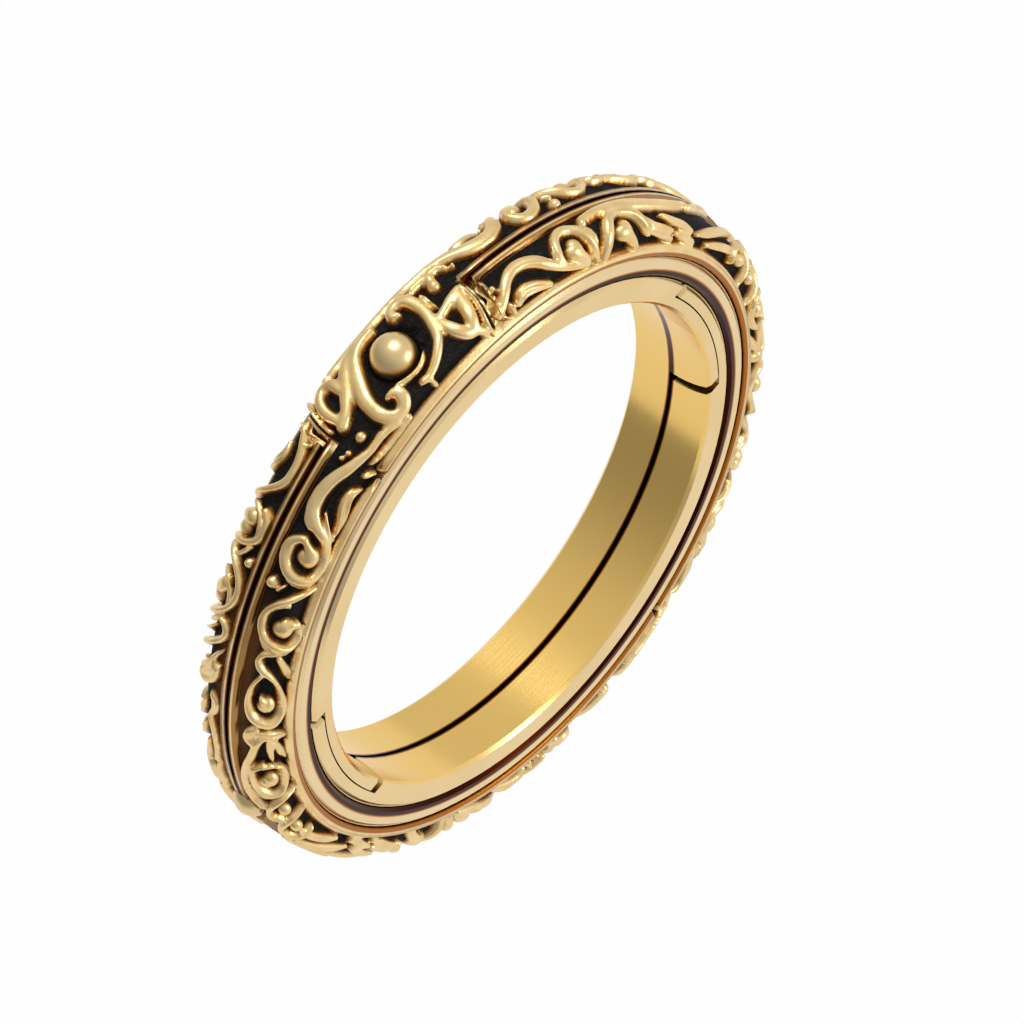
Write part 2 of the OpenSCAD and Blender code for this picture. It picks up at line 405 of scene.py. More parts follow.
left = Side(front, -1, 0.12, 1.08)
right = Side(front, 1, 0.25, 1)
behind = Side(back, -1, 0.13, 1)
print(f"beside the seam, strokes slide back {left.seam}, {right.seam} and {behind.seam} mm")

# %% [markdown]
# ## The front of the left band
#
# From the top rivet down to the left stud runs a chain of scrolls: a long stem that
# curls round the first ball, a second scroll, a teardrop loop, a small star of leaves
# and a spiral. The strokes are broad, with thin dark gaps between them. Each scroll is
# pinned to its own ball in the photo.

# %% Carve the stem and its first scroll
left.pin("stem bead", 12.9, 1)
left.ball(12.9, 1, 0.28)
left.ball(15.9, 0.95, 0.17)
left.ball(17.1, 0.83, 0.13)
left.stroke((6, 2.36, 0.14), (9, 2.42, 0.12), (12, 2.36, 0.11), (14, 2.22, 0.1), (15.6, 2.06, 0.06))
left.pin("first ball", 32.9, 1.6)
left.stroke(
    (8, 1.85, 0.2), (10, 1.62, 0.19), (12, 1.56, 0.18), (14, 1.53, 0.19), (16, 1.4, 0.22),
    (18, 1.24, 0.25), (20, 1.02, 0.28), (22, 0.88, 0.29), (24, 0.82, 0.29), (26, 0.88, 0.29),
    (27.5, 1.15, 0.26), (28.6, 1.5, 0.22), (29.6, 1.95, 0.2), (30.8, 2.35, 0.19),
    (32.5, 2.62, 0.19), (34.5, 2.6, 0.19), (36, 2.32, 0.19), (36.8, 1.85, 0.2),
    (36.8, 1.35, 0.22), (35.9, 0.92, 0.23), (34.2, 0.7, 0.23), (32.3, 0.68, 0.22),
    (31, 0.88, 0.2), (30.4, 1.12, 0.16),
)
left.ball(32.9, 1.6, 0.47)
left.stroke((30.5, 1.1, 0.13), (31.2, 1.3, 0.17), (32.2, 1.5, 0.25))
left.stroke((26.4, 0.8, 0.16), (27.7, 0.86, 0.13), (28.6, 1.08, 0.1))
left.stroke((25.4, 1.32, 0.06), (27, 1.6, 0.08), (28.3, 2, 0.08), (29.1, 2.4, 0.07))
left.leaf(
    (19.7, 2.75, 0.06), (20.3, 2.35, 0.13), (21.3, 1.96, 0.22), (22.7, 1.94, 0.27),
    (24.2, 2.14, 0.28), (25.8, 2.38, 0.21), (27.6, 2.5, 0.12), (29.2, 2.45, 0.07),
)
left.stroke((17.9, 2.15, 0.08), (17, 2.45, 0.1), (16.5, 2.8, 0.09))
print(f"stem and first scroll cover {100 * (front > 0).mean():.1f}% of the strip")

# %% Carve the second scroll and the teardrop loop
left.full = 0.92
left.pin("pair bead", 38.8, 0.75)
left.ball(38.8, 0.75, 0.28)
left.stroke((38.1, 1.25, 0.07), (39.3, 1.05, 0.1))
left.pin("second ball", 45.3, 1.65)
left.stroke(
    (37.6, 2.75, 0.13), (38.7, 2, 0.15), (40.2, 1.42, 0.18), (41.8, 1, 0.2), (43.6, 0.76, 0.2),
    (45.6, 0.72, 0.2), (47.4, 0.92, 0.2), (48.6, 1.38, 0.2), (49, 1.95, 0.2), (48.5, 2.48, 0.19),
    (47, 2.76, 0.17), (45.2, 2.62, 0.14), (44, 2.3, 0.13),
)
left.ball(45.3, 1.65, 0.45)
left.stroke((44.3, 1.95, 0.2), (44.6, 2.3, 0.16))
left.pin("third ball", 59.9, 1.6)
left.leaf((50.6, 1.75, 0.16), (52, 2.15, 0.2), (53.8, 2.6, 0.22), (55.6, 2.95, 0.14))
left.stroke(
    (49.6, 1.5, 0.14), (50, 1.14, 0.17), (51.3, 0.98, 0.19), (52.7, 1.08, 0.19), (54.1, 1.52, 0.17),
    (56, 2.02, 0.16), (58.5, 2.45, 0.17), (61, 2.66, 0.2), (63, 2.48, 0.22), (64, 2.02, 0.23),
    (63.8, 1.48, 0.23), (62.5, 1.04, 0.22), (60.4, 0.86, 0.2), (58, 0.88, 0.18), (56, 0.98, 0.15),
    (54.2, 1.2, 0.12),
)
left.ball(59.9, 1.6, 0.4)
left.stroke((58.4, 1.3, 0.12), (59.2, 1.4, 0.2))
print(f"the strip is now {100 * (front > 0).mean():.1f}% covered")

# %% Carve the star and the lower spiral
left.full = 0.85
left.stroke((64.8, 1.25, 0.12), (65.8, 0.98, 0.22), (67.2, 0.92, 0.28), (68.3, 1.15, 0.24))
left.leaf((66.4, 1.3, 0.25), (66.8, 1.85, 0.3), (67.3, 2.35, 0.26), (68.3, 2.85, 0.2))
left.leaf((67.6, 1.8, 0.18), (69.5, 1.83, 0.22), (71.6, 1.9, 0.18), (73.7, 2, 0.07))
left.leaf((68.8, 2.25, 0.15), (70.3, 2.42, 0.2), (72.2, 2.64, 0.2), (74.2, 2.85, 0.12))
left.pin("fourth ball", 78.8, 1.5)
left.stroke(
    (68.3, 1.3, 0.2), (70, 1.12, 0.24), (72.5, 0.95, 0.26), (75, 0.74, 0.25), (78, 0.56, 0.22),
    (81, 0.5, 0.2), (84, 0.6, 0.2), (86.3, 0.95, 0.16),
)
left.stroke(
    (74.5, 1.35, 0.14), (75.6, 1, 0.18), (77.8, 0.9, 0.2), (80.4, 0.98, 0.2), (82.3, 1.3, 0.2),
    (82.8, 1.8, 0.2), (81.6, 2.3, 0.2), (79.2, 2.5, 0.2), (76.6, 2.35, 0.18), (75.6, 2, 0.14),
)
left.ball(78.8, 1.6, 0.42)
left.ball(88.6, 1.75, 0.36)
left.stroke(
    (84.6, 2.6, 0.16), (84.9, 1.8, 0.2), (86.6, 1.2, 0.2), (89.4, 1.05, 0.2), (91, 1.4, 0.16),
)
left.ball(95.2, 1.75, 0.36)
left.stroke(
    (91.6, 2.6, 0.16), (92, 1.7, 0.2), (94, 1.12, 0.2), (97, 1.12, 0.2), (98.8, 1.6, 0.2),
    (98.4, 2.3, 0.18),
)
print(f"the strip is now {100 * (front > 0).mean():.1f}% covered")

# %% [markdown]
# ## The front of the right band
#
# The right side is seen at a flatter angle. It has a wave, a curl round a ball, a
# second curl, and then leaves that lean along a broad base line.

# %% Carve the wave and the curls
right.stroke((16.1, 0.75, 0.1), (15.9, 1.3, 0.12), (15.7, 1.9, 0.16))
right.stroke(
    (15.7, 2.15, 0.2), (17, 1.78, 0.23), (18.5, 1.46, 0.25), (20, 1.2, 0.27), (22, 1.03, 0.29),
    (24, 1.03, 0.29), (26, 1.2, 0.29), (28, 1.55, 0.26), (30, 1.98, 0.22), (32, 2.34, 0.2),
    (34.5, 2.62, 0.18), (37, 2.78, 0.15),
)
right.leaf(
    (20.4, 2.5, 0.18), (21.5, 2.02, 0.34), (23.5, 2.1, 0.34), (25.6, 2.4, 0.26), (28, 2.8, 0.15),
)
right.ball(17.4, 1.1, 0.2)
right.stroke((18.6, 2.15, 0.1), (19, 2.75, 0.16))
right.pin("right ball", 33.3, 1.68)
right.stroke(
    (30.4, 2, 0.14), (29.7, 1.62, 0.19), (30.2, 1.22, 0.22), (31.5, 0.96, 0.22),
    (33.2, 0.86, 0.21), (35, 0.98, 0.21), (36.4, 1.32, 0.22), (37.2, 1.82, 0.21),
    (37.7, 2.36, 0.19), (38.4, 2.85, 0.16),
)
right.ball(33.3, 1.68, 0.46)
right.stroke((33.6, 1.9, 0.3), (34.6, 2.2, 0.26), (35.9, 2.6, 0.18))
right.ball(37.8, 0.95, 0.22)
right.pin("right curl", 45.2, 1.74)
right.stroke(
    (40.4, 2.9, 0.24), (40.5, 2.3, 0.26), (40.9, 1.7, 0.26), (42.2, 1.16, 0.26),
    (44.4, 0.94, 0.25), (46.6, 0.96, 0.25), (48.6, 1.16, 0.24), (50.2, 1.64, 0.2), (51, 2.2, 0.14),
)
right.ball(45.2, 1.74, 0.5)
right.stroke((45.8, 2, 0.3), (47.2, 2.4, 0.24), (48.6, 2.8, 0.18))
print(f"the strip is now {100 * (front > 0).mean():.1f}% covered")

# %% Carve the leaning leaves
right.pinned = (0, 0)
right.stroke(
    (39, 0.82, 0.2), (43, 0.72, 0.22), (47, 0.72, 0.26), (51, 0.82, 0.32), (55, 0.95, 0.34),
    (59, 1, 0.32), (62.5, 1, 0.26), (65.5, 0.9, 0.15),
)
right.leaf((51.4, 1.42, 0.12), (53.4, 1.72, 0.18), (56, 1.98, 0.2), (59, 2.18, 0.15))
right.leaf((51.6, 2.06, 0.14), (54, 2.24, 0.18), (57, 2.5, 0.18), (60, 2.7, 0.12))
right.leaf((56.4, 1.42, 0.14), (59, 1.6, 0.2), (62, 1.8, 0.22), (65, 2.1, 0.16))
right.leaf((60.6, 2.35, 0.14), (63.5, 2.5, 0.2), (67, 2.72, 0.16))
right.stroke((66, 1.05, 0.15), (69.5, 0.86, 0.2), (74, 0.62, 0.18), (78, 0.5, 0.12))
right.leaf((67.5, 2.25, 0.12), (71, 1.92, 0.24), (75, 1.55, 0.26), (80, 1.3, 0.18))
right.leaf((72, 2.6, 0.12), (76, 2.3, 0.22), (81, 2, 0.22), (85, 1.9, 0.12))
right.stroke(
    (30, 3.15, 0.06), (46, 3.12, 0.1), (60, 3.08, 0.13), (76, 3.06, 0.13), (92, 3.06, 0.13),
    (98, 3.12, 0.08),
)
print(f"the strip is now {100 * (front > 0).mean():.1f}% covered")

# %% [markdown]
# ## The back of the right band
#
# Behind the seam, on the left of the photo, the back of the right band shows at a low
# angle. Its scrolls are like the front ones: a bow, a hook that holds a ball, a bead, an
# arch over a second ball, and leaves. Its places are negative, because they lie behind
# the seam.

# %% Carve the bow, the hook and the arches behind the seam
behind.stroke(
    (15.4, -1, 0.16), (17.6, -0.66, 0.18), (20.2, -0.42, 0.19), (23, -0.34, 0.2),
    (25.3, -0.48, 0.19), (27, -0.88, 0.18), (28.2, -1.35, 0.17), (29.2, -1.85, 0.16),
    (30.8, -2.3, 0.16), (33.2, -2.55, 0.16), (35.4, -2.45, 0.15), (36.8, -2.15, 0.14),
)
behind.leaf((19, -2.45, 0.08), (21.2, -2.2, 0.18), (24, -2.3, 0.2), (27.4, -2.5, 0.12))
behind.leaf((19.4, -1.2, 0.1), (21.2, -1.1, 0.2), (22.8, -1.35, 0.22), (24.2, -1.85, 0.2))
behind.stroke((17.9, -0.2, 0.1), (18.4, -0.36, 0.08))
behind.stroke(
    (30.1, -0.56, 0.16), (31.2, -0.36, 0.19), (33, -0.3, 0.19), (34.8, -0.42, 0.18),
    (35.9, -0.78, 0.17), (36.3, -1.25, 0.17), (36.5, -1.8, 0.16), (37, -2.3, 0.14),
)
behind.ball(32.2, -1, 0.36)
behind.stroke((32.2, -1.1, 0.32), (32.3, -1.5, 0.26), (32.8, -2, 0.2))
behind.ball(38.6, -0.38, 0.24)
behind.stroke(
    (39.6, -2.5, 0.12), (38.2, -2.1, 0.14), (37.9, -1.7, 0.15), (38.6, -1.25, 0.15),
    (39.9, -0.82, 0.16), (41.6, -0.52, 0.16), (43.6, -0.38, 0.16), (45.6, -0.42, 0.16),
    (47.4, -0.66, 0.16), (48.6, -1.05, 0.16), (49.7, -1.5, 0.16), (50.4, -2, 0.15),
    (50, -2.4, 0.13), (48.2, -2.5, 0.12),
)
behind.stroke((41, -2.48, 0.13), (43.6, -2.28, 0.16), (45.8, -2.5, 0.13))
behind.ball(43.8, -1.08, 0.38)
behind.stroke((44.4, -1.2, 0.34), (45.3, -1.6, 0.26), (46.4, -2.1, 0.2))
behind.stroke(
    (49, -0.86, 0.1), (49.8, -0.5, 0.15), (51.2, -0.38, 0.16), (52.7, -0.52, 0.16),
    (54, -0.88, 0.15), (55.2, -1.3, 0.15), (56.4, -1.8, 0.15), (58.2, -2.25, 0.16),
    (60.8, -2.5, 0.15), (63.4, -2.3, 0.14), (63.8, -1.9, 0.13), (62.6, -1.65, 0.12),
)
behind.leaf((51.8, -1.9, 0.1), (53, -2.25, 0.18), (55.4, -2.5, 0.16))
behind.ball(60.6, -2, 0.2)
behind.stroke((51, -0.95, 0.08), (52.4, -1.3, 0.1), (53.8, -1.8, 0.1))
print(f"the strokes behind the seam cover {100 * (back > 0).mean():.1f}% of the strip")

# %% Carve the leaves and the last scrolls behind the seam
behind.leaf((54.4, -0.36, 0.06), (56.6, -0.68, 0.14), (58.8, -0.84, 0.32), (60.3, -1.3, 0.3))
behind.stroke((58, -0.42, 0.12), (60.4, -0.58, 0.2), (61.4, -0.95, 0.18), (61.2, -1.4, 0.14))
behind.leaf((63.8, -0.6, 0.12), (65.2, -0.42, 0.18), (66.9, -0.45, 0.18), (68.6, -0.66, 0.12))
behind.stroke((68.2, -0.64, 0.1), (71.5, -0.48, 0.12), (75.5, -0.42, 0.13), (78.8, -0.52, 0.13))
behind.leaf((66, -0.98, 0.12), (68, -1.15, 0.18), (70.6, -1.5, 0.18))
behind.leaf((71, -0.98, 0.1), (73.4, -1.2, 0.18), (76.5, -1.6, 0.16))
behind.leaf((75, -0.85, 0.1), (78.5, -1, 0.17), (82, -1.35, 0.17))
behind.stroke((79.6, -0.45, 0.12), (83, -0.6, 0.15), (86.5, -0.55, 0.15), (89.5, -0.4, 0.1))
behind.stroke(
    (69, -1.75, 0.12), (68.2, -2.15, 0.15), (69.6, -2.5, 0.16), (72.6, -2.55, 0.16),
    (75, -2.25, 0.15), (75.2, -1.85, 0.12),
)
behind.ball(71.8, -2.05, 0.26)
behind.leaf((77, -1.85, 0.1), (79.4, -2.2, 0.18), (82.6, -2.5, 0.14))
behind.leaf((81.6, -1.75, 0.1), (85, -2.15, 0.2), (89, -2.45, 0.14))
behind.leaf((91, -2.5, 0.1), (94, -2.25, 0.18), (97.5, -2.4, 0.12))
behind.ball(86.5, -1.1, 0.3)
behind.leaf((83, -1.5, 0.12), (88, -1.75, 0.2), (93, -1.7, 0.16))
behind.stroke((89.5, -1.1, 0.12), (92.5, -0.85, 0.15), (96, -1, 0.15), (98, -1.4, 0.12))
print(f"they now cover {100 * (back > 0).mean():.1f}%")

# %% [markdown]
# ## The disc round the top rivet
#
# Where one carved band laps over the other, its end is a round disc with the rivet's
# ball in the middle. A broad C-shaped scroll holds the ball on the left, a slimmer one
# runs over it on the right, and a teardrop with a hole sits in each corner. Along the
# front and the back of the disc runs a thin straight rim.

# %% Carve the disc's two big scrolls
disc = np.zeros((COLUMNS, ROWS))
disc_side = Side(disc, 1, 0, 1.12)
disc_side.pinned = (-0.3, -0.14)
disc_side.stroke(
    (1.3, -1.12, 0.16), (-0.6, -1.12, 0.18), (-2.6, -0.98, 0.21), (-4.6, -0.6, 0.26),
    (-6.4, -0.1, 0.29), (-7.8, 0.45, 0.29), (-8.3, 1, 0.28), (-7.9, 1.5, 0.28),
    (-6.6, 1.8, 0.28), (-5, 1.75, 0.28), (-4, 1.4, 0.27), (-4.4, 1.08, 0.2), (-5.6, 1.02, 0.12),
)
disc_side.stroke(
    (-3.2, 1.02, 0.1), (-1.4, 1.2, 0.12), (0.6, 1.26, 0.13), (2.2, 1.12, 0.13), (3.1, 0.86, 0.1),
)
disc_side.stroke(
    (-0.4, 1.72, 0.16), (1.2, 1.75, 0.18), (3, 1.6, 0.19), (4.8, 1.32, 0.2), (6.3, 0.98, 0.21),
    (7.5, 0.52, 0.22), (8.4, 0.02, 0.23), (8.6, -0.5, 0.24), (8, -0.95, 0.24),
    (6.7, -1.1, 0.22), (5.4, -1, 0.22), (4.9, -0.74, 0.2), (5.7, -0.6, 0.12),
)
print(f"the disc's scrolls cover {100 * (disc > 0).mean():.1f}% of the strip")

# %% Carve the disc's corners and rims
disc_side.stroke((0.6, 1.85, 0.15), (0.8, 2.15, 0.11), (0.8, 2.5, 0.14))
disc_side.stroke(
    (-13, 0.3, 0.2), (-10.8, 0.1, 0.22), (-9, -0.2, 0.25), (-7, -0.58, 0.28), (-5, -0.98, 0.26),
    (-2.5, -1.3, 0.2), (1, -1.42, 0.16),
)
disc_side.stroke(
    (-12.6, 0, 0.2), (-12.6, -0.5, 0.22), (-11.6, -1, 0.22), (-10, -1.25, 0.22), (-8.7, -1, 0.22),
    (-8.6, -0.55, 0.2),
)
disc_side.stroke(
    (-9, -1.6, 0.1), (-4, -1.72, 0.12), (1, -1.75, 0.12), (6, -1.66, 0.12), (11, -1.5, 0.12),
)
disc_side.stroke((-9, -2.1, 0.1), (-3, -2.2, 0.12), (3, -2.2, 0.12), (9, -2.1, 0.1))
disc_side.ball(12.8, -0.5, 0.29)
disc_side.stroke((10, -0.95, 0.13), (13, -0.98, 0.14), (15.5, -0.9, 0.14))
disc_side.stroke((10.2, 0.1, 0.06), (10.3, -0.3, 0.07), (10.3, -0.6, 0.06))
disc_side.stroke(
    (8.4, 0.75, 0.22), (8.9, 1.22, 0.25), (9.8, 1.68, 0.26), (11, 1.82, 0.26), (12, 1.42, 0.25),
    (12.8, 0.88, 0.26), (13.7, 0.4, 0.22),
)
disc_side.stroke((8.8, 0.56, 0.17), (10.5, 0.45, 0.18), (12.3, 0.34, 0.2), (14.4, 0.24, 0.18))
disc_side.stroke((11.6, 2, 0.2), (12.6, 2.4, 0.2), (12.8, 2.8, 0.18))
print(f"the disc covers {100 * (disc > 0).mean():.1f}% of the strip")

# %% [markdown]
# ## Repeat the carving all round
#
# The unseen parts repeat what the photo shows, as they do on such rings. Half a turn
# about the rivets carries the front of the left side to the back of the right side,
# and half a turn about the line through the finger hole carries the top to the bottom.

# %% Copy the carving round the strip
def turned_about_rivets(strip):
    """The strip after half a turn about the line through the rivets."""
    return np.roll(strip[::-1], 1, axis=0)[:, ::-1]


def turned_about_finger(strip):
    """The strip after half a turn about the line through the finger hole."""
    return np.roll(strip, COLUMNS // 2, axis=0)


vein_depth = 0.4
strokes = np.maximum(front, back) * (1 - vein_depth * veins)
left_half = (around_grid < 0)[:, None]
carved = np.maximum(strokes, turned_about_rivets(strokes * left_half * (over_grid > 0)))
carved = np.maximum(carved, disc)
carved = np.maximum(carved, turned_about_finger(carved))
for blur in range(2):
    carved = (np.roll(carved, 1, axis=0) + 2 * carved + np.roll(carved, -1, axis=0)) / 4
    carved[:, 1:-1] = (carved[:, :-2] + 2 * carved[:, 1:-1] + carved[:, 2:]) / 4
print(f"{100 * (carved > 0.5).mean():.0f}% of the strip stands up")

# %% [markdown]
# ## Keep the left band's part
#
# The left band is in front on the left and at the back on the right. At the top it
# ends in the disc, which covers the full width, and at the bottom it stops at a round
# end with a raised rim. The carving fades out just inside each of those edges, and
# stays off the rim beside the seam and the recess round the rivet's ball.

# %% Fade the carving at the band's edges
def fade(value, start, stop):
    """Nought at one value and one at another, with soft ends."""
    t = np.clip((value - start) / (stop - start), 0, 1)
    return t * t * (3 - 2 * t)


around, over = np.meshgrid(around_grid, over_grid, indexing="ij")
place = surface_point(around, over, 0) / mm
x = place[:, :, 0]
y = place[:, :, 1]
z = place[:, :, 2]
from_rivets = np.hypot(x, y)
from_studs = np.hypot(y, z)
stud_recess = 0.74
on_top = z > 0
on_its_side = x * y > 0

end_rim = np.exp(-((from_rivets - band_end - 0.08) / 0.07) ** 2) * ~on_top
disc_rim = np.exp(-((from_rivets - disc_radius + 0.16) / 0.09) ** 4) * on_top * (x * y < 0)
carved = np.maximum(carved, np.maximum(0.55 * end_rim, 0.9 * disc_rim))

on_disc = on_top * fade(from_rivets, disc_radius - 0.02, disc_radius - 0.09)
on_half = on_its_side * fade(np.abs(over), seam_rim, seam_rim + 0.06)
on_half = on_half * np.where(on_top, 1, from_rivets > band_end - 0.15)
kept = np.maximum(on_disc, on_half)
kept = kept * np.where(on_top, fade(from_rivets, ball_recess, ball_recess + 0.08), 1)
kept = kept * fade(from_studs, stud_recess, stud_recess + 0.1)
print(f"{100 * (kept > 0.5).mean():.0f}% of the strip is the left band's")

# %% [markdown]
# ## Put the carving on the band
#
# The kept part of the strip becomes a thin curved slab. Its top carries the strokes,
# and between them it stays just under the band's sunk ground. Joined to a copy of the
# packed band, only the strokes come through. Every other face stays as it was packed.

# %% Bend the strip into a slab
stroke_top = 0.02
slab_under = ground + 0.07
slab_floor = 0.6
depth = slab_under - (slab_under - stroke_top) * carved * kept
top_points = surface_point(around, over, depth).reshape(-1, 3)
floor_points = surface_point(around, over, np.full_like(depth, slab_floor)).reshape(-1, 3)

index = np.arange(COLUMNS * ROWS).reshape(COLUMNS, ROWS)
beyond = np.roll(index, -1, axis=0)
corners = np.stack([index[:, :-1], beyond[:, :-1], beyond[:, 1:], index[:, 1:]], axis=2)
wanted = (kept.ravel()[corners] > 0).any(axis=2)
below = len(top_points)
faces = [corners[wanted], corners[wanted][:, ::-1] + below]
neighbours = [
    np.pad(wanted, ((0, 0), (1, 0)))[:, :-1],
    np.roll(wanted, -1, axis=0),
    np.pad(wanted, ((0, 0), (0, 1)))[:, 1:],
    np.roll(wanted, 1, axis=0),
]
for number, neighbour in enumerate(neighbours):
    edge = corners[wanted & ~neighbour]
    first = edge[:, number]
    second = edge[:, (number + 1) % 4]
    faces.append(np.stack([second, first, first + below, second + below], axis=1))
faces = np.concatenate(faces)
used, faces = np.unique(faces, return_inverse=True)
slab_points = np.concatenate([top_points, floor_points])[used]

slab_mesh = bpy.data.meshes.new("carving")
slab_mesh.from_pydata(slab_points.tolist(), [], faces.reshape(-1, 4).tolist())
slab = bpy.data.objects.new("carving", slab_mesh)
bpy.context.scene.collection.objects.link(slab)
print(f"the slab has {len(slab_mesh.polygons)} faces")


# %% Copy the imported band
def select_only(piece):
    """Leave one piece selected and active."""
    bpy.ops.object.select_all(action="DESELECT")
    piece.select_set(True)
    bpy.context.view_layer.objects.active = piece


def in_edit_mode(piece, operator, **settings):
    """Select all of a piece in edit mode and run one operator on it."""
    select_only(piece)
    bpy.ops.object.mode_set(mode="EDIT")
    bpy.ops.mesh.select_all(action="SELECT")
    operator(**settings)
    bpy.ops.object.mode_set(mode="OBJECT")


def copy_of_node(node, name):
    """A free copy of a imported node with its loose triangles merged."""
    piece = bpy.data.objects.new(name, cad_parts[node].data.copy())
    bpy.context.scene.collection.objects.link(piece)
    in_edit_mode(piece, bpy.ops.mesh.remove_doubles, threshold=0.001 * mm)
    return piece


left_band = copy_of_node("carved_band_left", "left_scrollwork")
print(f"the packed band has {len(left_band.data.polygons)} triangles")

# %% [markdown]
# ## Join the slab to the band
#
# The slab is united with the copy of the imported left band. Under the bottom rivet the
# other band's disc lies over this one, so the strokes that reach past the round end are
# cut away there with a cylinder.

# %% Unite them and trim the end
def combine(piece, tool, operation):
    """Join a tool to a piece, or cut the piece with it, and throw the tool away."""
    join = piece.modifiers.new(operation, "BOOLEAN")
    join.operation = operation
    join.solver = "MANIFOLD"
    join.object = tool
    select_only(piece)
    bpy.ops.object.modifier_apply(modifier=join.name)
    bpy.data.objects.remove(tool)


in_edit_mode(slab, bpy.ops.mesh.normals_make_consistent, inside=False)
combine(left_band, slab, "UNION")

end_middle = (0, 0, -12.4 * mm)
bpy.ops.object.select_all(action="DESELECT")
bpy.ops.mesh.primitive_cylinder_add(
    vertices=256, radius=band_end * mm, depth=2 * mm, location=end_middle,
)
end_cut = bpy.context.object
combine(left_band, end_cut, "DIFFERENCE")
select_only(left_band)
bpy.ops.object.shade_smooth_by_angle(angle=radians(50))
left_band.data.calc_loop_triangles()
print(f"left_scrollwork: {len(left_band.data.loop_triangles)} triangles")

# %% [markdown]
# ## Turn a copy for the right band
#
# Both bands are the same casting. The right one is turned end for end, half a turn
# about the line through the finger hole, so its disc lies over the bottom rivet.

# %% Copy the left band
right_band = bpy.data.objects.new("right_scrollwork", left_band.data.copy())
bpy.context.scene.collection.objects.link(right_band)
right_band.data.transform(Matrix.Rotation(pi, 4, "Y"))
for piece, node, body in (
    (left_band, "carved_band_left", "carved_left"),
    (right_band, "carved_band_right", "carved_right"),
):
    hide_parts(node)
    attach(piece, body)
print("left and right bands:", left_band.name, "and", right_band.name)

# %% [markdown]
# ## Metal
#
# All of it is one gold-coloured metal with four finishes. The carved bands were
# blackened, then rubbed back, so the sunk ground stays nearly black and the tops of the
# strokes are satin gold, while their sides are painted brown as shade. The plain ring and
# the lining are polished to a soft shine, and painted shade darkens the edges beside the gaps.

# %% A wire that can be used in sums
class Wire:
    """An output socket that can be used in sums, like a number."""

    def __init__(self, plan, socket):
        self.plan = plan
        self.socket = socket

    def math(self, operation, *terms):
        return self.plan.node("ShaderNodeMath", {"operation": operation}, *terms)

    def __add__(self, other):
        return self.math("ADD", self, other)

    def __radd__(self, other):
        return self.math("ADD", other, self)

    def __sub__(self, other):
        return self.math("SUBTRACT", self, other)

    def __rsub__(self, other):
        return self.math("SUBTRACT", other, self)

    def __mul__(self, other):
        return self.math("MULTIPLY", self, other)

    def __rmul__(self, other):
        return self.math("MULTIPLY", other, self)

    def __pow__(self, other):
        return self.math("POWER", self, other)

    def higher(self, other):
        return self.math("MAXIMUM", self, other)

    def fade(self, start, stop):
        """Nought at one value and one at another, with soft ends."""
        return self.plan.node("ShaderNodeMapRange", {"interpolation_type": "SMOOTHSTEP"}, self, start, stop)


# %% A plan of nodes
class Plan:
    """The nodes of a material or of the world."""

    def __init__(self, owner):
        owner.use_nodes = True
        self.owner = owner
        self.tree = owner.node_tree
        self.tree.nodes.clear()

    def plug(self, socket, value):
        """Link a wire to a socket, or set the socket to a plain value."""
        if isinstance(value, Wire):
            self.tree.links.new(value.socket, socket)
        else:
            socket.default_value = value

    def node(self, kind, settings=None, *values, output=0, **named):
        """Add a node: its settings first, then its sockets in order and by name."""
        node = self.tree.nodes.new(kind)
        for name, value in (settings or {}).items():
            setattr(node, name, value)
        for socket, value in zip(node.inputs, values):
            self.plug(socket, value)
        for name, value in named.items():
            self.plug(node.inputs[name.replace("_", " ").title()], value)
        return Wire(self, node.outputs[output]) if node.outputs else None


def linear(code):
    """A colour picked from the photo, such as D9B56B, as Blender's linear colour."""
    parts = [int(code[start:start + 2], 16) / 255 for start in (0, 2, 4)]
    return tuple([c / 12.92 if c <= 0.04045 else ((c + 0.055) / 1.055) ** 2.4 for c in parts] + [1])


print("D9B56B is", [round(part, 3) for part in linear("D9B56B")])


# %% A metal finish
class Finish(Plan):
    """A metal finish. Its x, y and z are places on the ring in millimetres."""

    def __init__(self, name, specular):
        super().__init__(bpy.data.materials.new(name))
        shader = self.tree.nodes.new("ShaderNodeBsdfPrincipled")
        self.sockets = shader.inputs
        self.sockets["Metallic"].default_value = 1
        self.sockets["Specular IOR Level"].default_value = specular
        self.node("ShaderNodeOutputMaterial", None, Wire(self, shader.outputs[0]))
        self.place = self.node("ShaderNodeTexCoord", output="Object")
        scaled = self.node("ShaderNodeVectorMath", {"operation": "SCALE"}, self.place, scale=1 / mm)
        split = self.node("ShaderNodeSeparateXYZ", None, scaled).socket.node
        self.x, self.y, self.z = [Wire(self, socket) for socket in split.outputs]
        self.across = (self.y * self.y) ** 0.5
        self.radius = (self.x * self.x + self.z * self.z) ** 0.5

    def spots(self, size_mm, detail=2):
        """Soft random spots of about a given size."""
        return self.node("ShaderNodeTexNoise", None, self.place, scale=1 / (size_mm * mm), detail=detail)

    def mix(self, factor, first, second):
        """A colour between two colours, which are a mix node's inputs 6 and 7 and output 2."""
        blend = self.node("ShaderNodeMix", {"data_type": "RGBA"}, factor, output=2)
        colours = blend.socket.node.inputs
        self.plug(colours[6], first)
        self.plug(colours[7], second)
        return blend

    def bump(self, height, depth_mm):
        """Roughen the surface by a height between nought and one."""
        rough = self.node("ShaderNodeBump", None, height=height, distance=depth_mm * mm, strength=0.6)
        self.plug(self.sockets["Normal"], rough)
